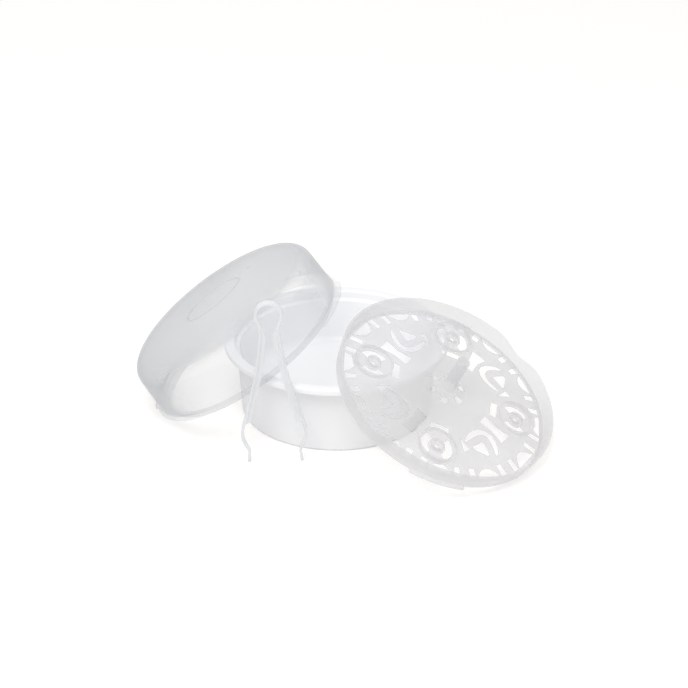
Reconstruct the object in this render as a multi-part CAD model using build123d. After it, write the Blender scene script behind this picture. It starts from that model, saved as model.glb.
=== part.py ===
"""Microwave steam steriliser for feeding bottles, taken apart as in the photograph.

Four mouldings: a white bowl, a frosted cover leaning on it from the left, a frosted perforated
rack leaning on it from the right, and sprung tongs standing in front. Millimetres, +Z up. The
origin is under the middle of the bowl, on the floor, and the viewer looks along +Y.
"""
import os
from math import cos, degrees, radians, sin, sqrt

from build123d import *

os.makedirs("parts", exist_ok=True)

FLOOR_GAP = 0.3             # a leaning piece stands this far off the floor and the bowl

# The bowl
BOWL_HEIGHT = 96.0
FLANGE_R = 140.0            # outer edge of the bowl's flange
FLANGE_THICK = 3.2
FLANGE_CHAMFER = 1.0
LIP_DROP = 7.5              # how far the flange's edge turns down
LIP_WALL = 2.6
MOUTH_R = 127.0             # opening that the cover's plug drops into
MOUTH_CHAMFER = 1.4
LEDGE_Z = 86.0              # small shelf under the mouth
BODY_TOP_R = 124.0
BODY_FOOT_R = 119.0
BOWL_WALL = 3.0
FLOOR_Z = 30.0              # upper face of the raised floor
FLOOR_CORNER = 12.0

# The cover, in its own frame: height 0 is the underside of its flange
COVER_FLANGE_R = 137.5
COVER_FLANGE = 2.6
COVER_LUG_R = 141.5         # the two gripping lugs stand out this far
COVER_LUG_HALF_ANGLE = 23.0
COVER_LUG_TURN = -10.0      # from the downhill line, towards the viewer
COVER_WALL = 2.2
COVER_BODY_R = 133.5        # foot of the side wall
COVER_SHOULDER_R = 132.0
COVER_SHOULDER_H = 50.0
COVER_CROWN_R = 114.0       # where the shoulder meets the crown
COVER_CROWN_H = 66.0
COVER_RISE = 3.0            # the crown bulges by this much in the middle
PLUG_R = 125.0
PLUG_WALL = 1.8
PLUG_DEPTH = 6.1
COVER_TILT = 34.25
COVER_LEAN = 177.65         # compass direction of its low side, counted from +X towards +Y
COVER_AT = (-110.66, 4.46)

# The rack, in its own frame: height 0 is the plate's edge, +Y points up the slope
RACK_PLATE_R = 133.0
RACK_PLATE = 1.8
RACK_RISE = 10.0            # the plate is domed by this much
RIM_TOP_R = 141.3           # the sloping rim stands above and below the plate
RIM_TOP_H = 16.6
RIM_FOOT_R = 136.9
RIM_FOOT_H = -8.2
RIM_WALL = 2.2
RIM_DIP = 7.0               # the rim drops this much at the two gripping places
RIM_DIP_HALF_WIDTH = 40.0
RIM_DIP_TURN = -7.5
RIM_LUG_R = 142.5
RIM_LUG_HEIGHT = 3.0
RIM_LUG_ANGLE = 29.0
RIM_LUG_TURN = 35.5
RACK_TILT = 28.5
RACK_LEAN = -35.9
RACK_AT = (129.07, -106.16)

# Bottle rings, each with a small cup, two windows and a drain
RING_AT_R = 95.0
RING_TURN = 31.5
RING_R = 25.0
RING_WALL = 2.0
RING_HEIGHT = 5.5
CUP_R = 9.0
CUP_WALL = 1.8
CUP_HEIGHT = 4.5
DRAIN_R = 3.2
WINDOW_MARGIN = 2.0         # left between a window and the ring or the cup
WINDOW_ANGLE = 104.0
RING_SINK = 1.2             # how deep the ring's foot is sunk in the plate

# The post: (radius, height above the plate at its foot) down its outside
POST_WALL = 1.8
POST_FOOT_R = 28.0
POST_PROFILE = [(POST_FOOT_R, 0.0), (17.5, 2.4), (11.6, 7.0), (8.6, 17.0), (8.0, 52.0), (7.2, 53.0)]
FOOT_WINDOWS = 6
FOOT_WINDOW = [(15.5, -3.4), (25.0, -4.6), (25.0, 4.6), (15.5, 3.4)]

# Openings of one quarter of the plate, drawn along +X
GROUP_TURN = -20.0
TRIANGLE = [(86.0, -14.5), (81.0, 9.0), (105.0, 8.0)]
TRIANGLE_CORNER = 3.2
CRESCENT = [(76.5, -16.5), (70.0, -3.5), (67.8, 10.2), (71.8, 19.0), (81.5, 22.5), (104.5, 16.0)]
CRESCENT_HALF = 4.5         # half its width in the middle
CRESCENT_STEPS = 10
WAISTED_IN, WAISTED_OUT = 57.0, 94.0
WAISTED_HALF = (8.2, 5.8, 10.0)
WAISTED_TURN = 27.0
SMALL_TRIANGLE = [(70.0, -21.5), (88.5, -15.5), (90.0, -26.0)]
BESIDE_RING = [(60.3, -11.6), (69.7, -12.6), (69.7, 12.6), (60.3, 11.6)]

# Openings along the plate's edge: segments, and two short slots after each
EDGE_COUNT = 12
EDGE_TURN = 6.0
SEGMENT = [(130.3, -17.5), (123.5, -13.2), (118.2, -6.6), (116.5, 0.0), (118.2, 6.6), (123.5, 13.2), (130.3, 17.5)]
SLOT = [(115.5, -3.9), (131.5, -4.5), (131.5, 4.5), (115.5, 3.9)]
SLOT_TURNS = (10.3, 19.9)

# The tongs, in their own plane: Y runs up from the floor, X is half the spread
BAND = 3.2                  # thickness of the sprung band
BAND_WIDTH = 10.0
RIB_WIDTH = 3.6
LOOP_AT = 193.0
LOOP_R = 17.0               # outside of the loop
ARM_SPLIT = 10.0            # the arms begin this far below the loop's middle, in degrees
SPLIT_GAP = 0.05
ARM_SPREAD = 32.0           # half the distance between the tips on the floor
ARM_LINE = [(12.9, 183.3), (10.9, 178.0), (10.9, 170.0), (13.4, 147.0), (17.0, 123.5), (22.6, 99.0),
            (28.4, 77.4), (33.4, 58.0), (36.3, 49.0), (38.2, 40.0), (38.0, 30.5), (34.9, 22.0),
            (31.4, 15.5), (31.4, 8.0)]
RIB_LINE = [(10.4, 177.0), (6.9, 163.0), (8.0, 147.0), (10.0, 123.5), (14.9, 99.0), (20.6, 77.4), (26.8, 52.0)]
TONGS_LEAN = 3.3
TONGS_ROLL = 2.0
TONGS_AT = (-74.0, -142.95)


def turned(points):
    """A body of revolution about Z from (radius, height, corner rounding) points."""
    face = make_face(Polyline(*[(r, 0, z) for r, z, _ in points], close=True))
    for r, z, rounding in points:
        if rounding:
            corner = face.vertices().sort_by_distance((r, 0, z))[0]
            face = fillet(corner, rounding)
    return revolve(face, Axis.Z)


def polar(radius, angle):
    return (radius * cos(radians(angle)), radius * sin(radians(angle)))


def cap_height(radius, reach, rise):
    """Height of a spherical cap that rises by rise over a circle of radius reach."""
    ball = (reach ** 2 + rise ** 2) / (2 * rise)
    return sqrt(ball ** 2 - radius ** 2) - (ball - rise)


def cap_arc(base, reach, rise):
    """The cap's section from the axis to its edge, which lies at height base."""
    points = [(r, 0, base + cap_height(r, reach, rise)) for r in (0, reach / 2, reach)]
    return ThreePointArc(*points)


def leaning(centre, tilt, lean):
    """Placing of a piece whose own +Z tips by tilt towards the compass direction lean."""
    h = Vector(cos(radians(lean)), sin(radians(lean)), 0)
    up = Vector(0, 0, 1)
    normal = h * sin(radians(tilt)) + up * cos(radians(tilt))
    downhill = h * cos(radians(tilt)) - up * sin(radians(tilt))
    side = normal.cross(downhill)
    return Location(Plane(origin=centre, x_dir=side, z_dir=normal))


# The bowl: skirt, raised floor, ledge, mouth and turned-down flange in one section
inside_foot = BODY_FOOT_R - BOWL_WALL
inside_top = BODY_TOP_R - BOWL_WALL
lip_in = FLANGE_R - LIP_WALL
neck_out = MOUTH_R + LIP_WALL
floor_under = FLOOR_Z - BOWL_WALL
bowl = turned([
    (0, FLOOR_Z, 0),
    (inside_foot - 1.0, FLOOR_Z, FLOOR_CORNER),
    (inside_top, LEDGE_Z - 1.0, 0),
    (MOUTH_R - 0.6, LEDGE_Z, 0),
    (MOUTH_R, BOWL_HEIGHT - MOUTH_CHAMFER, 0),
    (MOUTH_R + MOUTH_CHAMFER, BOWL_HEIGHT, 0),
    (FLANGE_R - FLANGE_CHAMFER, BOWL_HEIGHT, 0),
    (FLANGE_R, BOWL_HEIGHT - FLANGE_CHAMFER, 0),
    (FLANGE_R, BOWL_HEIGHT - LIP_DROP, 0),
    (lip_in, BOWL_HEIGHT - LIP_DROP, 0),
    (lip_in - 0.4, BOWL_HEIGHT - FLANGE_THICK, 0),
    (neck_out, BOWL_HEIGHT - FLANGE_THICK, 0),
    (neck_out - 0.2, LEDGE_Z - 2.0, 0),
    (BODY_TOP_R, LEDGE_Z - 4.5, 0),
    (BODY_FOOT_R, 2.0, 0),
    (BODY_FOOT_R - 1.6, 0, 0),
    (inside_foot - 0.4, 0, 0),
    (inside_foot - 4.0, floor_under - 8.0, 0),
    (inside_foot - FLOOR_CORNER, floor_under, 0),
    (0, floor_under, 0),
])
export_step(bowl, "parts/base_bowl.step")

# The cover: crown, shoulder, wall, flange and plug
crown_in_r = COVER_CROWN_R - 1.0
crown_in_h = COVER_CROWN_H - COVER_WALL
shoulder_in = COVER_SHOULDER_R - COVER_WALL
cover_face = make_face([
    cap_arc(COVER_CROWN_H, COVER_CROWN_R, COVER_RISE),
    Spline((COVER_CROWN_R, 0, COVER_CROWN_H), (COVER_SHOULDER_R, 0, COVER_SHOULDER_H),
           tangents=((1, 0, -0.05), (0.02, 0, -1))),
    Polyline((COVER_SHOULDER_R, 0, COVER_SHOULDER_H), (COVER_BODY_R, 0, COVER_FLANGE),
             (COVER_FLANGE_R, 0, COVER_FLANGE), (COVER_FLANGE_R, 0, 0), (PLUG_R, 0, 0),
             (PLUG_R - 0.5, 0, -PLUG_DEPTH), (PLUG_R - 0.5 - PLUG_WALL, 0, -PLUG_DEPTH),
             (PLUG_R - 0.2 - PLUG_WALL, 0, COVER_FLANGE), (COVER_BODY_R - COVER_WALL, 0, COVER_FLANGE),
             (shoulder_in, 0, COVER_SHOULDER_H)),
    Spline((shoulder_in, 0, COVER_SHOULDER_H), (crown_in_r, 0, crown_in_h), tangents=((-0.02, 0, 1), (-1, 0, 0.05))),
    cap_arc(crown_in_h, crown_in_r, COVER_RISE),
    Line((0, 0, crown_in_h + COVER_RISE), (0, 0, COVER_CROWN_H + COVER_RISE)),
])
cover = revolve(cover_face, Axis.Z)
lug_in = COVER_BODY_R - 1.0
lug_face = make_face(Polyline((lug_in, 0, 0), (COVER_LUG_R, 0, 0), (COVER_LUG_R, 0, COVER_FLANGE),
                              (lug_in, 0, COVER_FLANGE), close=True))
lug = revolve(lug_face, Axis.Z, 2 * COVER_LUG_HALF_ANGLE)
lug_corners = lug.edges().filter_by(Axis.Z).filter_by(lambda e: (e @ 0).X ** 2 + (e @ 0).Y ** 2 > COVER_FLANGE_R ** 2)
lug = fillet(lug_corners, 3.0)
for side in (0, 180):
    # the cover's own -Y is downhill, and +X is towards the viewer after leaning()
    cover += Rot(0, 0, -90 + COVER_LUG_TURN + side - COVER_LUG_HALF_ANGLE) * lug
cover_z = COVER_LUG_R * sin(radians(COVER_TILT)) + FLOOR_GAP
cover_place = leaning((*COVER_AT, cover_z), COVER_TILT, COVER_LEAN)
export_step(cover_place * cover, "parts/cover.step")


# The rack: domed plate inside a sloping rim
def plate_height(radius):
    return cap_height(radius, RACK_PLATE_R, RACK_RISE)


def rim_outside(height):
    share = (height - RIM_FOOT_H) / (RIM_TOP_H - RIM_FOOT_H)
    return RIM_FOOT_R + share * (RIM_TOP_R - RIM_FOOT_R)


rim_corner = 2.5
rack_face = make_face([
    cap_arc(0, RACK_PLATE_R, RACK_RISE),
    Polyline((RACK_PLATE_R, 0, 0), (rim_outside(0) - RIM_WALL - 1.0, 0, 0),
             (rim_outside(rim_corner) - RIM_WALL, 0, rim_corner), (RIM_TOP_R - RIM_WALL, 0, RIM_TOP_H),
             (RIM_TOP_R, 0, RIM_TOP_H), (RIM_FOOT_R, 0, RIM_FOOT_H),
             (RIM_FOOT_R - RIM_WALL, 0, RIM_FOOT_H), (rim_outside(-RACK_PLATE) - RIM_WALL, 0, -RACK_PLATE),
             (RACK_PLATE_R, 0, -RACK_PLATE)),
    cap_arc(-RACK_PLATE, RACK_PLATE_R, RACK_RISE),
    Line((0, 0, RACK_RISE), (0, 0, RACK_RISE - RACK_PLATE)),
])
rack = revolve(rack_face, Axis.Z)

# One quarter's openings; the crescent's sides follow its middle line at a varying distance
crescent_line = Spline(*CRESCENT)
crescent_in, crescent_out = [], []
for step in range(CRESCENT_STEPS + 1):
    share = step / CRESCENT_STEPS
    here, along = crescent_line @ share, crescent_line % share
    half = CRESCENT_HALF * (0.15 + 0.85 * sin(radians(180 * share)) ** 0.5)
    across = Vector(-along.Y, along.X) * half
    crescent_in.append(here + across)
    crescent_out.append(here - across)
crescent = make_face(Polyline(*crescent_in, *reversed(crescent_out), close=True))
triangle = make_face(Polyline(*TRIANGLE, close=True))
triangle = fillet(triangle.vertices(), TRIANGLE_CORNER)
waisted_mid = (WAISTED_IN + WAISTED_OUT) / 2
waisted_side = list(zip((WAISTED_IN, waisted_mid, WAISTED_OUT), WAISTED_HALF))
waisted = make_face(Polyline(*waisted_side, *[(x, -y) for x, y in reversed(waisted_side)], close=True))
quarter = [triangle, crescent, make_face(Polyline(*SMALL_TRIANGLE, close=True))]
quarter.append(Rot(0, 0, WAISTED_TURN) * waisted)
window_in, window_out = CUP_R + WINDOW_MARGIN, RING_R - RING_WALL - WINDOW_MARGIN
a, b = 90 - WINDOW_ANGLE / 2, 90 + WINDOW_ANGLE / 2
window = make_face([
    ThreePointArc(polar(window_out, a), polar(window_out, 90), polar(window_out, b)),
    Line(polar(window_out, b), polar(window_in, b)),
    ThreePointArc(polar(window_in, b), polar(window_in, 90), polar(window_in, a)),
    Line(polar(window_in, a), polar(window_out, a))])
beside_ring = [make_face(Polyline(*BESIDE_RING, close=True))]
in_ring = [RegularPolygon(DRAIN_R, 6).face(), window, Rot(0, 0, 180) * window]
beside_ring += [Pos(RING_AT_R, 0, 0) * f for f in in_ring]
quarter += [Rot(0, 0, RING_TURN - GROUP_TURN) * f for f in beside_ring]
segment = make_face(Polyline(*SEGMENT, close=True))
slot = make_face(Polyline(*SLOT, close=True))
edge_unit = [segment] + [Rot(0, 0, turn) * slot for turn in SLOT_TURNS]

cutters = [Rot(0, 0, GROUP_TURN + 90 * k) * f for k in range(4) for f in quarter]
cutters += [Rot(0, 0, EDGE_TURN + 360 / EDGE_COUNT * k) * f for k in range(EDGE_COUNT) for f in edge_unit]
cut_low, cut_deep = -6.0, 20.0
rack = rack - [extrude(Pos(0, 0, cut_low) * f, cut_deep, dir=(0, 0, 1)) for f in cutters]

# Bottle rings with a small cup in each: level on top, they end on the dome
seat_depth = 30.0
dome_top = [(0, 0, RACK_RISE - RING_SINK), (0, 0, seat_depth), (RACK_PLATE_R, 0, seat_depth)]
above_dome = revolve(make_face([cap_arc(-RING_SINK, RACK_PLATE_R, RACK_RISE),
                                Polyline((RACK_PLATE_R, 0, -RING_SINK), *reversed(dome_top))]), Axis.Z)
ring = Cylinder(RING_R, seat_depth) - Cylinder(RING_R - RING_WALL, seat_depth)
cup = Cylinder(CUP_R, seat_depth) - Cylinder(CUP_R - CUP_WALL, seat_depth)
seat = Pos(0, 0, RING_HEIGHT - seat_depth / 2) * ring + Pos(0, 0, CUP_HEIGHT - seat_depth / 2) * cup
for k in range(4):
    place = Rot(0, 0, RING_TURN + 90 * k) * Pos(RING_AT_R, 0, plate_height(RING_AT_R))
    rack += (place * seat) & above_dome

# Hollow post on a trumpet-shaped foot with windows around it
foot_h = plate_height(POST_FOOT_R)
post_out = [(r, 0, foot_h + h) for r, h in POST_PROFILE]
post_in = [(r - POST_WALL, 0, foot_h + h - POST_WALL) for r, h in reversed(POST_PROFILE[1:])]
post_face = make_face(Polyline(*post_out, (0, 0, post_out[-1][2]), (0, 0, post_in[0][2]), *post_in,
                               (POST_FOOT_R - POST_WALL, 0, foot_h - RACK_PLATE),
                               (POST_FOOT_R, 0, foot_h - RACK_PLATE), close=True))
rack -= Pos(0, 0, RACK_RISE) * Cylinder(POST_FOOT_R - POST_WALL, cut_deep)
rack += revolve(post_face, Axis.Z)
foot_window = extrude(make_face(Polyline(*FOOT_WINDOW, close=True)), cut_deep, dir=(0, 0, 1))
rack = rack - [Rot(0, 0, 360 / FOOT_WINDOWS * (k + 0.5)) * foot_window for k in range(FOOT_WINDOWS)]

# The rim dips in a smooth curve at two places, and its foot has two lugs
dip_ends = [(-RIM_DIP_HALF_WIDTH, RIM_TOP_H), (RIM_DIP_HALF_WIDTH, RIM_TOP_H)]
above_rim = RIM_TOP_H + RIM_DIP
dip = make_face([
    Spline(dip_ends[0], (0, RIM_TOP_H - RIM_DIP), dip_ends[1], tangents=((1, 0), (1, 0))),
    Polyline(dip_ends[1], (RIM_DIP_HALF_WIDTH, above_rim), (-RIM_DIP_HALF_WIDTH, above_rim), dip_ends[0])])
dip = Plane(origin=(RACK_PLATE_R / 2, 0, 0), x_dir=(0, 1, 0), z_dir=(1, 0, 0)) * dip
dip = extrude(dip, RACK_PLATE_R, dir=(1, 0, 0))
lug_in = RIM_FOOT_R - RIM_WALL / 2
lug_top = RIM_FOOT_H + RIM_LUG_HEIGHT
rim_lug = revolve(make_face(Polyline((lug_in, 0, RIM_FOOT_H), (RIM_LUG_R, 0, RIM_FOOT_H), (RIM_LUG_R, 0, lug_top),
                                     (lug_in, 0, lug_top), close=True)), Axis.Z, RIM_LUG_ANGLE)
for half_turn in (0, 180):
    rack -= Rot(0, 0, RIM_DIP_TURN + half_turn) * dip
    rack += Rot(0, 0, RIM_LUG_TURN + half_turn - RIM_LUG_ANGLE / 2) * rim_lug

rack_z = RIM_FOOT_R * sin(radians(RACK_TILT)) - RIM_FOOT_H * cos(radians(RACK_TILT)) + FLOOR_GAP
rack_place = leaning((*RACK_AT, rack_z), RACK_TILT, RACK_LEAN)
export_step(rack_place * rack, "parts/rack.step")

# The tongs: a sprung loop and two mirrored arms, each a bent band with a rib inside it
band_mid = LOOP_R - BAND / 2
split_angle = ARM_SPLIT - degrees(SPLIT_GAP / band_mid)
bow_line = CenterArc((0, LOOP_AT), band_mid, -split_angle, 180 + 2 * split_angle)
bow = extrude(trace(bow_line, BAND), BAND_WIDTH / 2, both=True)
split_x, split_y = polar(band_mid, -ARM_SPLIT)
arm_line = Spline((split_x, LOOP_AT + split_y), *ARM_LINE, (ARM_SPREAD, 0),
                  tangents=(polar(1, -90 - ARM_SPLIT), (0.1, -1)))
arm = extrude(trace(arm_line, BAND), BAND_WIDTH / 2, both=True)
rib_top, rib_end = RIB_LINE[0], RIB_LINE[-1]
band_side = ARM_LINE[7:1:-1]
rib_back = Spline((band_side[0][0], rib_end[1]), *band_side[1:], (band_side[-1][0], rib_top[1]))
rib = make_face([Spline(*RIB_LINE), Line(rib_end, rib_back @ 0), rib_back, Line(rib_back @ 1, rib_top)])
arm_right = arm + extrude(rib, RIB_WIDTH / 2, both=True)
arm_left = mirror(arm_right, about=Plane.YZ)

lean, roll = radians(TONGS_LEAN), radians(TONGS_ROLL)
toward = Vector(0, -cos(lean), sin(lean))
uphill = Vector(0, sin(lean), cos(lean))
across = Vector(1, 0, 0) * cos(roll) + uphill * sin(roll)
tongs_z = BAND_WIDTH / 2 * sin(lean) + (ARM_SPREAD + BAND / 2) * sin(roll) * cos(lean) + FLOOR_GAP
tongs_place = Location(Plane(origin=(*TONGS_AT, tongs_z), x_dir=across, z_dir=toward))
export_step(tongs_place * bow, "parts/tongs_bow.step")
export_step(tongs_place * arm_left, "parts/tongs_arm_left.step")
export_step(tongs_place * arm_right, "parts/tongs_arm_right.step")
loop_centre = (tongs_place * Pos(0, LOOP_AT, 0)).position
print("hinge of the tongs at", [round(c, 4) for c in loop_centre], "along", [round(c, 6) for c in toward])
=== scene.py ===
# %% [markdown]
# # A microwave steam steriliser, taken apart on a white table
#
# Four plastic mouldings: a white bowl, a frosted cover that leans on it from the left, a frosted
# perforated rack that leans on it from the right, and a pair of sprung tongs in front. The packed
# CAD model is the fixed frame. The rack keeps its CAD solid, and finer meshes stand for the rest.

# %% Load the frame
from math import cos, degrees, hypot, pi, radians, sin, sqrt, tan

import bpy
from mathutils import Matrix, Vector


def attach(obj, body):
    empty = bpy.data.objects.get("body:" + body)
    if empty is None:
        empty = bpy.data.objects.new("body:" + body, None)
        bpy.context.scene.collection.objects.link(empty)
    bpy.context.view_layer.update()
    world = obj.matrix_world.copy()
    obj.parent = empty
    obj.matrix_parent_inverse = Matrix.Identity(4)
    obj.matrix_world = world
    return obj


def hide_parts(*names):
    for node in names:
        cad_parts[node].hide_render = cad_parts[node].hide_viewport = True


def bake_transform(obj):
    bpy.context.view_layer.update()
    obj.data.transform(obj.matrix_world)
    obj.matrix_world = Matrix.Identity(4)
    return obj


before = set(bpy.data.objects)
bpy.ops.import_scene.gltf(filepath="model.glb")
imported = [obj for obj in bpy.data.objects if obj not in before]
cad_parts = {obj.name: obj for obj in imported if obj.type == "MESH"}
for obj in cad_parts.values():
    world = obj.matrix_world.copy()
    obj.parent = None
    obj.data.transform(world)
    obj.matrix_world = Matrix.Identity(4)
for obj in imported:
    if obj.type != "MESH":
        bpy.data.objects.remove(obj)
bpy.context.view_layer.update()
MM = 0.001
print("faces:", {name: len(node.data.polygons) for name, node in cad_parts.items()})

# %% [markdown]
# ## Shader arithmetic
#
# A surface needs small sums of masks and noises. Wrapping a socket in a class with the usual
# operators lets such a sum be written as one line of Python instead of a chain of nodes.


# %% A socket that takes part in sums
class Signal:
    """A socket of one material: sums with numbers or other signals add Math nodes."""

    def __init__(self, tree, socket=None):
        self.tree = tree
        self.socket = socket

    def node(self, kind, settings, inputs, output=0):
        """Any node: its settings are set first, then the values or links of its sockets."""
        made = self.tree.nodes.new(kind)
        for name, value in settings.items():
            setattr(made, name, value)
        for name, value in inputs.items():
            if isinstance(value, Signal):
                self.tree.links.new(value.socket, made.inputs[name])
            else:
                made.inputs[name].default_value = value
        return Signal(self.tree, made.outputs[output] if made.outputs else None)

    def math(self, operation, first, second):
        return self.node("ShaderNodeMath", {"operation": operation}, {0: first, 1: second})

    def __add__(self, other):
        return self.math("ADD", self, other)

    def __radd__(self, other):
        return self.math("ADD", other, self)

    def __sub__(self, other):
        return self.math("SUBTRACT", self, other)

    def __rsub__(self, other):
        return self.math("SUBTRACT", other, self)

    def __mul__(self, other):
        return self.math("MULTIPLY", self, other)

    def __rmul__(self, other):
        return self.math("MULTIPLY", other, self)


# %% A new material with its output node
def new_material(name):
    material = bpy.data.materials.new(name)
    material.use_nodes = True
    tree = material.node_tree
    tree.nodes.clear()
    return material, Signal(tree)


def finish_material(start, shader):
    start.node("ShaderNodeOutputMaterial", {}, {"Surface": shader})


# %% [markdown]
# ## White polypropylene
#
# The bowl is opaque white plastic with a soft gloss. Its colour is nearly even: a slow, faint
# cloudiness from the moulding shows in the colour and the roughness, and a grain in the normal, too
# small to be seen by itself, spreads the highlights a little.


# %% The bowl's finish
PLASTIC_IOR = 1.49
GRAIN_DEPTH = 0.2 * MM


def white_plastic(name):
    material, start = new_material(name)
    place = start.node("ShaderNodeTexCoord", {}, {}, output="Object")
    cloud = start.node("ShaderNodeTexNoise", {}, {"Vector": place, "Scale": 9.0, "Detail": 3.0})
    grain = start.node("ShaderNodeTexNoise", {}, {"Vector": place, "Scale": 900.0, "Detail": 2.0})
    colour = start.node("ShaderNodeMix", {"data_type": "RGBA"}, {
        "Factor": cloud, "A": (0.925, 0.93, 0.942, 1), "B": (0.935, 0.94, 0.95, 1)}, output=2)
    bump = start.node("ShaderNodeBump", {}, {
        "Height": grain, "Strength": 0.04, "Distance": GRAIN_DEPTH})
    shader = start.node("ShaderNodeBsdfPrincipled", {}, {
        "Base Color": colour, "Roughness": 0.26 + 0.04 * cloud, "Normal": bump,
        "IOR": PLASTIC_IOR})
    finish_material(start, shader)
    return material


# %% [markdown]
# ## Frosted polypropylene
#
# The cover, the rack and the tongs are the same plastic without the white colour. Each surface lets
# a share of the light straight through, so that what lies behind keeps its edges, and scatters the
# rest forwards and backwards like milk glass. Seen at a grazing angle the path through the wall is
# longer, so a wall turns milkier towards its outline. Where two walls lie behind each other, the
# greyness adds up by itself. On the cover's thick flange most of the edge-on loss is left out, a
# painted light that keeps the flange as light as the real one looks instead of a dark band.


# %% The frosted finish
CLOUDINESS = 0.04  # how much darker the clouds' dark side is
LIP_FADE = 0.8  # mm over which the painted light on the flange sets in
LIP_PAINTED_LIGHT = 0.75  # share of the edge-on loss that the painted light on the flange leaves out


def frosted_plastic(name, milk, clear, tint, graze, forward, lip=None):
    """milk is the scattered colour, clear the share let straight through and tint its colour.
    graze is how much of that share is lost edge-on, and forward is the part of the scattered
    light that goes on through the wall. Below the height lip, in mm, most of the edge-on loss is
    left out: a painted light that keeps the flange band light."""
    material, start = new_material(name)
    place = start.node("ShaderNodeTexCoord", {}, {}, output="Object")
    cloud = start.node("ShaderNodeTexNoise", {}, {"Vector": place, "Scale": 14.0, "Detail": 4.0})
    grain = start.node("ShaderNodeTexNoise", {}, {"Vector": place, "Scale": 1400.0, "Detail": 2.0})
    darker = tuple(c * (1 - CLOUDINESS) for c in milk) + (1,)
    colour = start.node("ShaderNodeMix", {"data_type": "RGBA"}, {
        "Factor": cloud, "A": darker, "B": (*milk, 1)}, output=2)
    bump = start.node("ShaderNodeBump", {}, {
        "Height": grain, "Strength": 0.05, "Distance": GRAIN_DEPTH})
    gloss = start.node("ShaderNodeBsdfPrincipled", {}, {
        "Base Color": colour, "Roughness": 0.24 + 0.12 * cloud, "Normal": bump,
        "IOR": PLASTIC_IOR})
    forwards = start.node("ShaderNodeBsdfTranslucent", {}, {"Color": (*milk, 1)})
    milky = start.node("ShaderNodeMixShader", {}, {
        0: forward + 0.1 * cloud, 1: gloss, 2: forwards})
    straight = start.node("ShaderNodeBsdfTransparent", {}, {"Color": (*tint, 1)})
    edge = start.node("ShaderNodeLayerWeight", {}, {"Blend": 0.5}, output="Facing")
    lost = (clear * graze) * edge * edge
    # Painted light: below the height lip most of the edge-on loss is left out, so the flange stays
    # light.
    if lip is not None:
        height = start.node("ShaderNodeSeparateXYZ", {}, {"Vector": place}, output="Z")
        lip_painted_light = start.node("ShaderNodeMapRange", {}, {
            "Value": height, "From Min": lip * MM, "From Max": (lip - LIP_FADE) * MM,
            "To Max": LIP_PAINTED_LIGHT})
        lost = lost * (1 - lip_painted_light)
    share = clear - lost - 0.03 * cloud
    finish_material(start, start.node("ShaderNodeMixShader", {}, {0: share, 1: milky, 2: straight}))
    return material


# %% The white finish and the three frosted ones
WHITE = white_plastic("white_plastic")
# The cover's flange, below lip, gets the painted light that leaves out most of its edge-on loss.
FROSTED = frosted_plastic(
    "frosted_cover", milk=(0.785, 0.795, 0.81), clear=0.94, tint=(0.98, 0.98, 0.982),
    graze=1.05, forward=0.60, lip=3.6)
FROSTED_RACK = frosted_plastic(
    "frosted_rack", milk=(0.92, 0.915, 0.92), clear=0.68, tint=(0.965, 0.965, 0.97),
    graze=0.85, forward=0.60)
FROSTED_TONGS = frosted_plastic(
    "frosted_tongs", milk=(0.94, 0.95, 0.96), clear=0.40, tint=(0.975, 0.98, 0.985),
    graze=0.85, forward=0.30)
print("finishes:", [m.name for m in (WHITE, FROSTED, FROSTED_RACK, FROSTED_TONGS)])


# %% [markdown]
# ## Turned shapes
#
# Bowl and cover are round, so each is one section turned about an axis. The section is a list of
# corners with a rounding each, as a mould maker would draw it, and the corners become short arcs.


# %% Rounded sections and the lathe
FACETS_AROUND = 360
ARC_STEPS = 6
ON_AXIS = 1e-6


def rounded(corners):
    """Corner points (radius, height, rounding) as a list of (radius, height) with arcs."""
    line = []
    count = len(corners)
    for i, (r, z, rounding) in enumerate(corners):
        here = Vector((r, z))
        if rounding == 0:
            line.append(here)
            continue
        before = (Vector(corners[i - 1][:2]) - here).normalized()
        after = (Vector(corners[(i + 1) % count][:2]) - here).normalized()
        half = before.angle(after) / 2
        reach = rounding / tan(half)
        middle = here + (before + after).normalized() * (rounding / sin(half))
        first = here + before * reach - middle
        last = here + after * reach - middle
        bend = pi - 2 * half
        for k in range(ARC_STEPS + 1):
            share = k / ARC_STEPS
            spoke = first * sin((1 - share) * bend) + last * sin(share * bend)
            line.append(middle + spoke.normalized() * rounding)
    return line


def lathe(name, section, warp=None):
    """Turns a section, whose ends lie on the axis, all round, and warps each point if asked."""
    vertices, rings = [], []
    for r, z in section:
        on_axis = r < ON_AXIS
        ring = []
        for k in range(1 if on_axis else FACETS_AROUND):
            angle = 2 * pi * k / FACETS_AROUND
            radius, height = (r, z) if warp is None or on_axis else warp(r, z, angle)
            ring.append(len(vertices))
            vertices.append((radius * cos(angle) * MM, radius * sin(angle) * MM, height * MM))
        rings.append(ring)
    faces = []
    for a, b in zip(rings, rings[1:]):
        for k in range(FACETS_AROUND):
            nxt = (k + 1) % FACETS_AROUND
            quad = [a[k % len(a)], b[k % len(b)], b[nxt % len(b)], a[nxt % len(a)]]
            corners = list(dict.fromkeys(quad))
            if len(corners) > 2:
                faces.append(corners)
    return new_piece(name, vertices, faces)


def new_piece(name, vertices, faces):
    mesh = bpy.data.meshes.new(name)
    mesh.from_pydata([tuple(v) for v in vertices], [], faces)
    mesh.validate()
    mesh.shade_smooth()
    piece = bpy.data.objects.new(name, mesh)
    bpy.context.scene.collection.objects.link(piece)
    return piece


def smooth_by_angle(piece, limit=35):
    """Smooth shading with crisp edges where two faces meet at more than limit degrees."""
    piece.data.set_sharp_from_angle(angle=radians(limit))
    return piece


def dress(piece, material, body, slot, *stands_for):
    """Material and body of a piece, and the CAD nodes that it stands for. slot is not used."""
    piece.data.materials.clear()
    piece.data.materials.append(material)
    if body:
        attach(piece, body)
    if stands_for:
        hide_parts(*stands_for)
    print(piece.name, "faces", len(piece.data.polygons))


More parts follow.
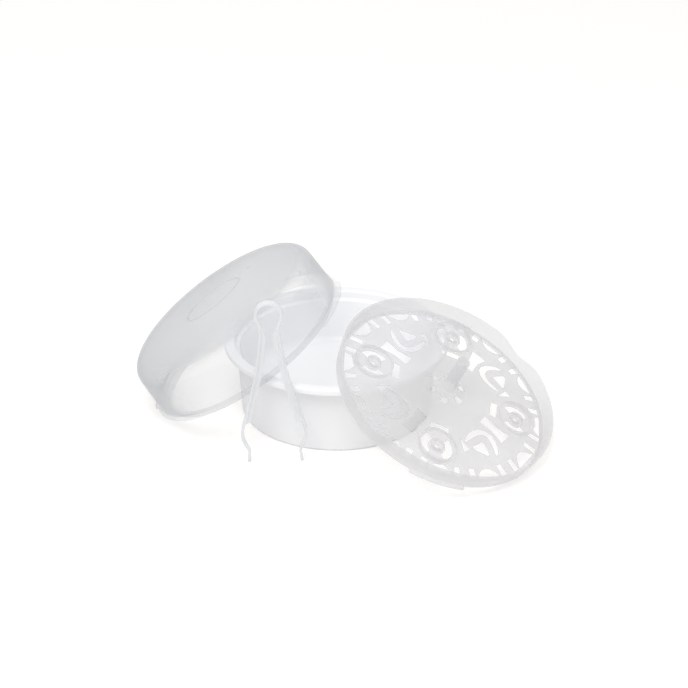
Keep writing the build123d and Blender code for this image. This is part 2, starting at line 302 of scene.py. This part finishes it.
# %% [markdown]
# ## The bowl
#
# A plain bowl with a nearly upright wall, a raised floor, a narrow ledge under its mouth that the
# rack sits on when the set is closed, and a flange whose edge turns down. The section has the same
# sizes as the CAD solid, and its corners are rounded.

# %% Turn the bowl
BOWL_HEIGHT = 96.0
FLANGE_R = 140.0
MOUTH_R = 127.0
LEDGE_Z = 86.0
BODY_TOP_R = 124.0
BODY_FOOT_R = 119.0
BOWL_WALL = 3.0
FLOOR_Z = 30.0
LIP_DROP = 7.5
LIP_WALL = 2.6
FLANGE_THICK = 3.2
inside_foot = BODY_FOOT_R - BOWL_WALL
flange_under = BOWL_HEIGHT - FLANGE_THICK
bowl_section = rounded([
    (0, FLOOR_Z, 0),
    (inside_foot - 1.0, FLOOR_Z, 12.0),
    (BODY_TOP_R - BOWL_WALL, LEDGE_Z - 1.0, 1.5),
    (MOUTH_R - 0.6, LEDGE_Z, 1.2),
    (MOUTH_R, BOWL_HEIGHT, 2.5),
    (FLANGE_R, BOWL_HEIGHT, 1.5),
    (FLANGE_R, BOWL_HEIGHT - LIP_DROP, 0.8),
    (FLANGE_R - LIP_WALL, BOWL_HEIGHT - LIP_DROP, 0.8),
    (FLANGE_R - LIP_WALL - 0.4, flange_under, 1.5),
    (MOUTH_R + LIP_WALL, flange_under, 1.5),
    (MOUTH_R + LIP_WALL - 0.2, LEDGE_Z - 2.0, 2.0),
    (BODY_TOP_R, LEDGE_Z - 4.5, 2.0),
    (BODY_FOOT_R, 2.0, 1.5),
    (BODY_FOOT_R - 1.6, 0.0, 0.8),
    (inside_foot - 0.4, 0.0, 0.8),
    (inside_foot - 3.0, FLOOR_Z - BOWL_WALL, 11.0),
    (0, FLOOR_Z - BOWL_WALL, 0),
])
bowl = smooth_by_angle(lathe("bowl", bowl_section))
dress(bowl, WHITE, "base", "white_plastic", "base_bowl")

# %% [markdown]
# ## The cover
#
# The cover stands on the low side of its flange, tipped by 34 degrees, and leans on the bowl. It is
# turned in its own frame, with a flange, a short plug ring that drops into the bowl and two lugs to
# hold it by, and then placed. Its crown carries a plain oval bead, where the real one has a mark.


# %% Where a leaning piece stands
def leaning(centre, tilt, lean):
    """Own +Z tips by tilt towards the compass direction lean; own +Y points up the slope."""
    flat = Vector((cos(radians(lean)), sin(radians(lean)), 0))
    up = Vector((0, 0, 1))
    normal = flat * sin(radians(tilt)) + up * cos(radians(tilt))
    downhill = flat * cos(radians(tilt)) - up * sin(radians(tilt))
    side = normal.cross(downhill)
    turn = Matrix((side, -downhill, normal)).transposed().to_4x4()
    return Matrix.Translation(Vector(centre) * MM) @ turn


# %% Turn the cover
COVER_FLANGE_R = 137.5
COVER_LUG_R = 141.5
COVER_LUG_HALF_ANGLE = 23.0
COVER_LUG_TURN = -10.0
COVER_FLANGE = 2.6
COVER_WALL = 2.2
COVER_BODY_R = 133.5
COVER_SHOULDER_R = 132.0
COVER_SHOULDER_H = 50.0
COVER_CROWN_R = 114.0
COVER_CROWN_H = 66.0
COVER_RISE = 3.0
CROWN_STEPS = 40
SHOULDER_STEPS = 14
PLUG_R = 125.0
PLUG_WALL = 1.8
PLUG_DEPTH = 6.1
COVER_TILT = 34.25
COVER_LEAN = 177.65
COVER_AT = (-110.66, 4.46)
FLOOR_GAP = 0.3


def crown(height, reach):
    """The crown's section from its edge to the axis: a shallow cap."""
    ball = (reach ** 2 + COVER_RISE ** 2) / (2 * COVER_RISE)
    radii = [reach * (1 - k / CROWN_STEPS) for k in range(CROWN_STEPS + 1)]
    return [Vector((r, height + sqrt(ball ** 2 - r ** 2) - (ball - COVER_RISE))) for r in radii]


def shoulder(r_low, h_low, r_high, h_high):
    """A quarter turn from the upright wall into the crown."""
    bend = []
    for k in range(SHOULDER_STEPS + 1):
        angle = pi / 2 * k / SHOULDER_STEPS
        r = r_high + (r_low - r_high) * cos(angle)
        bend.append(Vector((r, h_low + (h_high - h_low) * sin(angle))))
    return bend


cover_outside = rounded([
    (PLUG_R - 0.2 - PLUG_WALL, COVER_FLANGE, 0),
    (PLUG_R - 0.5 - PLUG_WALL, -PLUG_DEPTH, 0.5),
    (PLUG_R - 0.5, -PLUG_DEPTH, 0.8),
    (PLUG_R, 0, 0),
    (COVER_FLANGE_R, 0, 0.6),
    (COVER_FLANGE_R, COVER_FLANGE, 0.9),
    (COVER_BODY_R, COVER_FLANGE, 1.5),
    (COVER_SHOULDER_R, COVER_SHOULDER_H, 0),
])
outer_bend = shoulder(COVER_SHOULDER_R, COVER_SHOULDER_H, COVER_CROWN_R, COVER_CROWN_H)
inside_crown_r = COVER_CROWN_R - 1.0
inside_crown_h = COVER_CROWN_H - COVER_WALL
inner_bend = shoulder(COVER_SHOULDER_R - COVER_WALL, COVER_SHOULDER_H, inside_crown_r,
                      inside_crown_h)
inside = crown(inside_crown_h, inside_crown_r)[::-1] + inner_bend[::-1][1:]
inside_foot_of_wall = Vector((COVER_BODY_R - COVER_WALL, COVER_FLANGE))
outside = cover_outside + outer_bend[1:] + crown(COVER_CROWN_H, COVER_CROWN_R)[1:]
cover_section = inside + [inside_foot_of_wall] + outside
LUG_END = 2.5  # degrees in which the flange widens to a lug
FLANGE_REACH = 0.5  # mm of play when telling the flange from the wall


def ease(value, low, high):
    """0 below low, 1 above high and a smooth step between."""
    share = min(1, max(0, (value - low) / (high - low)))
    return share * share * (3 - 2 * share)


def cover_warp(r, z, angle):
    """Pushes the flange out at the two lugs."""
    turn = degrees(angle) + 90 - COVER_LUG_TURN
    away = abs((turn + 90) % 180 - 90)
    if r > COVER_BODY_R + FLANGE_REACH and z < COVER_FLANGE + FLANGE_REACH:
        r += (COVER_LUG_R - COVER_FLANGE_R) * ease(COVER_LUG_HALF_ANGLE - away, 0, LUG_END)
    return r, z


cover_z = COVER_LUG_R * sin(radians(COVER_TILT)) + FLOOR_GAP
cover_place = leaning((*COVER_AT, cover_z), COVER_TILT, COVER_LEAN)
cover = smooth_by_angle(lathe("cover_shell", cover_section, cover_warp))
cover.matrix_world = cover_place
dress(cover, FROSTED, "cover_body", "frosted_plastic", "cover")


# %% The plain oval bead on the crown
BEAD_AT = (-26.0, -8.0)
BEAD_LONG, BEAD_WIDE = 41.0, 26.0
BEAD_TURN = 119.0
BEAD_STEPS = 120
BEAD_CLEAR = 0.02
BEAD_ROWS = [(-2.4, 0.0), (-1.4, 0.3), (0.0, 0.4), (1.4, 0.3), (2.4, 0.0)]  # (outwards, height)


def crown_height(r):
    """Height of the crown's outside; on so shallow a cap a parabola is as good as the ball."""
    return COVER_CROWN_H + COVER_RISE - COVER_RISE * (r / COVER_CROWN_R) ** 2


bead_vertices, bead_faces = [], []
for out, lift in BEAD_ROWS:
    for k in range(BEAD_STEPS):
        angle = 2 * pi * k / BEAD_STEPS
        spot = Vector(((BEAD_LONG + out) * cos(angle), (BEAD_WIDE + out) * sin(angle)))
        spot.rotate(Matrix.Rotation(radians(BEAD_TURN), 2))
        x, y = spot + Vector(BEAD_AT)
        height = crown_height(hypot(x, y)) + lift + BEAD_CLEAR
        bead_vertices.append((x * MM, y * MM, height * MM))
for row in range(len(BEAD_ROWS) - 1):
    for k in range(BEAD_STEPS):
        a, b = row * BEAD_STEPS + k, row * BEAD_STEPS + (k + 1) % BEAD_STEPS
        bead_faces.append((a, a + BEAD_STEPS, b + BEAD_STEPS, b))
bead = new_piece("cover_bead", bead_vertices, bead_faces)
bead.matrix_world = cover_place
dress(bead, FROSTED, "cover_body", "frosted_plastic")

# %% [markdown]
# ## The rack
#
# The rack's CAD solid already has every cut-out, ring and cup, so it stays and gets its finish.

# %% Give the rack its finish
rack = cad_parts["rack"]
rack.data.materials.clear()
rack.data.materials.append(FROSTED_RACK)
print("rack faces", len(rack.data.polygons))

# %% [markdown]
# ## The tongs
#
# One moulded band: a sprung loop and two arms with a rib along the inside. Each half is one mesh
# from the top of the loop to its tip.

# %% The band's route and section
BAND = 3.2
BAND_WIDTH = 10.0
RIB_WIDTH = 3.6
LOOP_AT = 193.0
LOOP_R = 17.0
ARM_SPLIT = 10.0
ARM_SPREAD = 32.0
TONGS_LEAN = 3.3
TONGS_ROLL = 2.0
TONGS_AT = (-74.0, -142.95)
LOOP_SPANS = 8
PER_SPAN = 6
band_mid = LOOP_R - BAND / 2
loop_points = []
for k in range(LOOP_SPANS + 1):
    angle = radians(90 - k * (90 + ARM_SPLIT) / LOOP_SPANS)
    loop_points.append((band_mid * cos(angle), LOOP_AT + band_mid * sin(angle)))
arm_points = [(12.9, 183.3), (10.9, 178.0), (10.9, 170.0), (13.4, 147.0), (17.0, 123.5),
              (22.6, 99.0), (28.4, 77.4), (33.4, 58.0), (36.3, 49.0), (38.2, 40.0), (38.0, 30.5),
              (34.9, 22.0), (31.4, 15.5), (31.4, 8.0), (ARM_SPREAD, 0)]


def smooth_path(points):
    """A smooth line through the points, with PER_SPAN steps from each point to the next."""
    ends = [2 * Vector(points[0]) - Vector(points[1])] + [Vector(p) for p in points]
    ends.append(2 * ends[-1] - ends[-2])
    line = []
    for a, b, c, d in zip(ends, ends[1:], ends[2:], ends[3:]):
        for k in range(PER_SPAN):
            t = k / PER_SPAN
            line.append(0.5 * (2 * b + (c - a) * t + (2 * a - 5 * b + 4 * c - d) * t ** 2
                               + (3 * b - a - 3 * c + d) * t ** 3))
    line.append(ends[-2])
    return line


RIB_DEPTH = 5.6
RIB_FROM, RIB_FOOT_RUN = 50.5, 4.0
RIB_TO, RIB_TOP_RUN = 178.0, 12.0
TIP_FROM, TIP_RUN, TIP_LOSS = 34.0, 20.0, 1.4
BEVEL = 0.7
RIB_ROOT, RIB_BEVEL = 0.5, 0.6


def ramp(distance, length):
    """0 at no distance, 1 from length onwards and a straight rise between."""
    return min(1, max(0, distance / length))


def rib_reach(height):
    """How far the rib stands in from the band at a height above the floor."""
    return RIB_DEPTH * ramp(height - RIB_FROM, RIB_FOOT_RUN) * ramp(RIB_TO - height, RIB_TOP_RUN)


def band_section(rib, height):
    """Corner points (inwards, sideways) of the band with its rib; the band narrows to its tip."""
    t, q = BAND / 2, RIB_WIDTH / 2
    w = BAND_WIDTH / 2 - TIP_LOSS * ramp(TIP_FROM - height, TIP_RUN)
    half = [(-t, 0), (-t, w - BEVEL), (-t + 0.25, w - 0.2), (-t + BEVEL, w),
            (t - BEVEL, w), (t - 0.25, w - 0.2), (t, w - BEVEL),
            (t, q + RIB_ROOT), (t + min(rib, RIB_ROOT), q), (t + max(rib - RIB_BEVEL, 0), q),
            (t + rib, q - RIB_BEVEL), (t + rib, 0)]
    return half + [(u, -v) for u, v in reversed(half[1:-1])]


# %% Loft the two halves and place them
def tongs_half(name, hand):
    """hand is 1 for the right half and -1 for the left one. The rib starts after the loop."""
    route = smooth_path(loop_points + arm_points)
    vertices, rings = [], []
    for i, here in enumerate(route):
        along = (route[min(i + 1, len(route) - 1)] - route[max(i - 1, 0)]).normalized()
        inwards = Vector((along.y, -along.x))
        ring = []
        for u, v in band_section(rib_reach(here.y) if i > LOOP_SPANS * PER_SPAN else 0, here.y):
            spot = here + inwards * u
            ring.append(len(vertices))
            vertices.append((hand * spot.x * MM, spot.y * MM, v * MM))
        rings.append(ring)
    faces = []
    for a, b in zip(rings, rings[1:]):
        for k in range(len(a)):
            nxt = (k + 1) % len(a)
            quad = [a[k], b[k], b[nxt], a[nxt]]
            faces.append(quad if hand > 0 else quad[::-1])
    faces.append(rings[-1] if hand < 0 else rings[-1][::-1])
    return smooth_by_angle(new_piece(name, vertices, faces), limit=40)


lean, roll = radians(TONGS_LEAN), radians(TONGS_ROLL)
toward = Vector((0, -cos(lean), sin(lean)))
across = Vector((cos(roll), sin(lean) * sin(roll), cos(lean) * sin(roll)))
tongs_z = BAND_WIDTH / 2 * sin(lean) + (ARM_SPREAD + BAND / 2) * sin(roll) * cos(lean) + FLOOR_GAP
tongs_turn = Matrix((across, toward.cross(across), toward)).transposed().to_4x4()
tongs_place = Matrix.Translation(Vector((*TONGS_AT, tongs_z)) * MM) @ tongs_turn
for hand, side in ((1, "right"), (-1, "left")):
    half = tongs_half("tongs_" + side, hand)
    half.matrix_world = tongs_place
    nodes = ["tongs_arm_" + side] + (["tongs_bow"] if hand > 0 else [])
    dress(half, FROSTED_TONGS, None, "frosted_tongs_plastic", *nodes)
    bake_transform(half)

# %% [markdown]
# ## Table, light and camera
#
# A white table under an even, bright tent, with one soft lamp in front. To the camera the table
# shows a lighter white with a little glow, so that it melts into the backdrop and keeps only a
# faint shadow. The pieces are lit by its plain diffuse side, which throws back less light. The
# camera was fitted to the round edges in the photograph: a long lens, 29 degrees above the table.

# %% The table
TABLE_HALF = 8.0
corner_signs = [(-1, -1), (1, -1), (1, 1), (-1, 1)]
table_corners = [(x * TABLE_HALF, y * TABLE_HALF, 0) for x, y in corner_signs]
floor = new_piece("table", table_corners, [(0, 1, 2, 3)])
floor_material, start = new_material("table_white")
diffuse = start.node("ShaderNodeBsdfDiffuse", {}, {"Color": (0.80, 0.795, 0.785, 1)})
shade = start.node("ShaderNodeBsdfDiffuse", {}, {"Color": (0.93, 0.92, 0.90, 1)})
glow = start.node("ShaderNodeEmission", {}, {"Color": (1, 1, 1, 1), "Strength": 0.16})
seen = start.node("ShaderNodeLightPath", {}, {}, output="Is Camera Ray")
lit = start.node("ShaderNodeAddShader", {}, {0: shade, 1: glow})
finish_material(start, start.node("ShaderNodeMixShader", {}, {0: seen, 1: diffuse, 2: lit}))
floor.data.materials.append(floor_material)

# %% The light
world = bpy.data.worlds.new("tent")
bpy.context.scene.world = world
world.use_nodes = True
sky = world.node_tree.nodes["Background"]
sky.inputs["Color"].default_value = (1, 1, 1, 1)
sky.inputs["Strength"].default_value = 0.78


def soft_box(name, place, aim, size, watts):
    lamp = bpy.data.lights.new(name, "AREA")
    lamp.shape = "DISK"
    lamp.size = size
    lamp.energy = watts
    box = bpy.data.objects.new(name, lamp)
    box.location = place
    box.rotation_euler = (Vector(aim) - Vector(place)).to_track_quat("-Z", "Y").to_euler()
    bpy.context.scene.collection.objects.link(box)
    print(name, "at", place)


soft_box("softbox_front", place=(-0.5, -1.35, 2.35), aim=(0, 0, 0.05), size=1.6, watts=29)

# %% The camera
PHOTO_PX = 688
FOCAL_PX = 2528.0
ORIGIN_PX = (336.5, 403.63)
SENSOR = 36.0
CLIP_END = 50.0
ELEVATION = radians(29.25)
DISTANCE = 3.2
camera_data = bpy.data.cameras.new("camera")
camera_data.sensor_width = SENSOR
camera_data.lens = FOCAL_PX / PHOTO_PX * SENSOR
camera_data.shift_x = (PHOTO_PX / 2 - ORIGIN_PX[0]) / PHOTO_PX
camera_data.shift_y = (ORIGIN_PX[1] - PHOTO_PX / 2) / PHOTO_PX
camera_data.clip_end = CLIP_END
camera = bpy.data.objects.new("camera", camera_data)
camera.location = (0, -DISTANCE * cos(ELEVATION), DISTANCE * sin(ELEVATION))
camera.rotation_euler = (Vector((0, 0, 0)) - camera.location).to_track_quat("-Z", "Y").to_euler()
bpy.context.scene.collection.objects.link(camera)
bpy.context.scene.camera = camera
bpy.context.scene.view_settings.view_transform = "Standard"
print("lens", round(camera_data.lens, 2), "mm, shift", camera_data.shift_x, camera_data.shift_y)
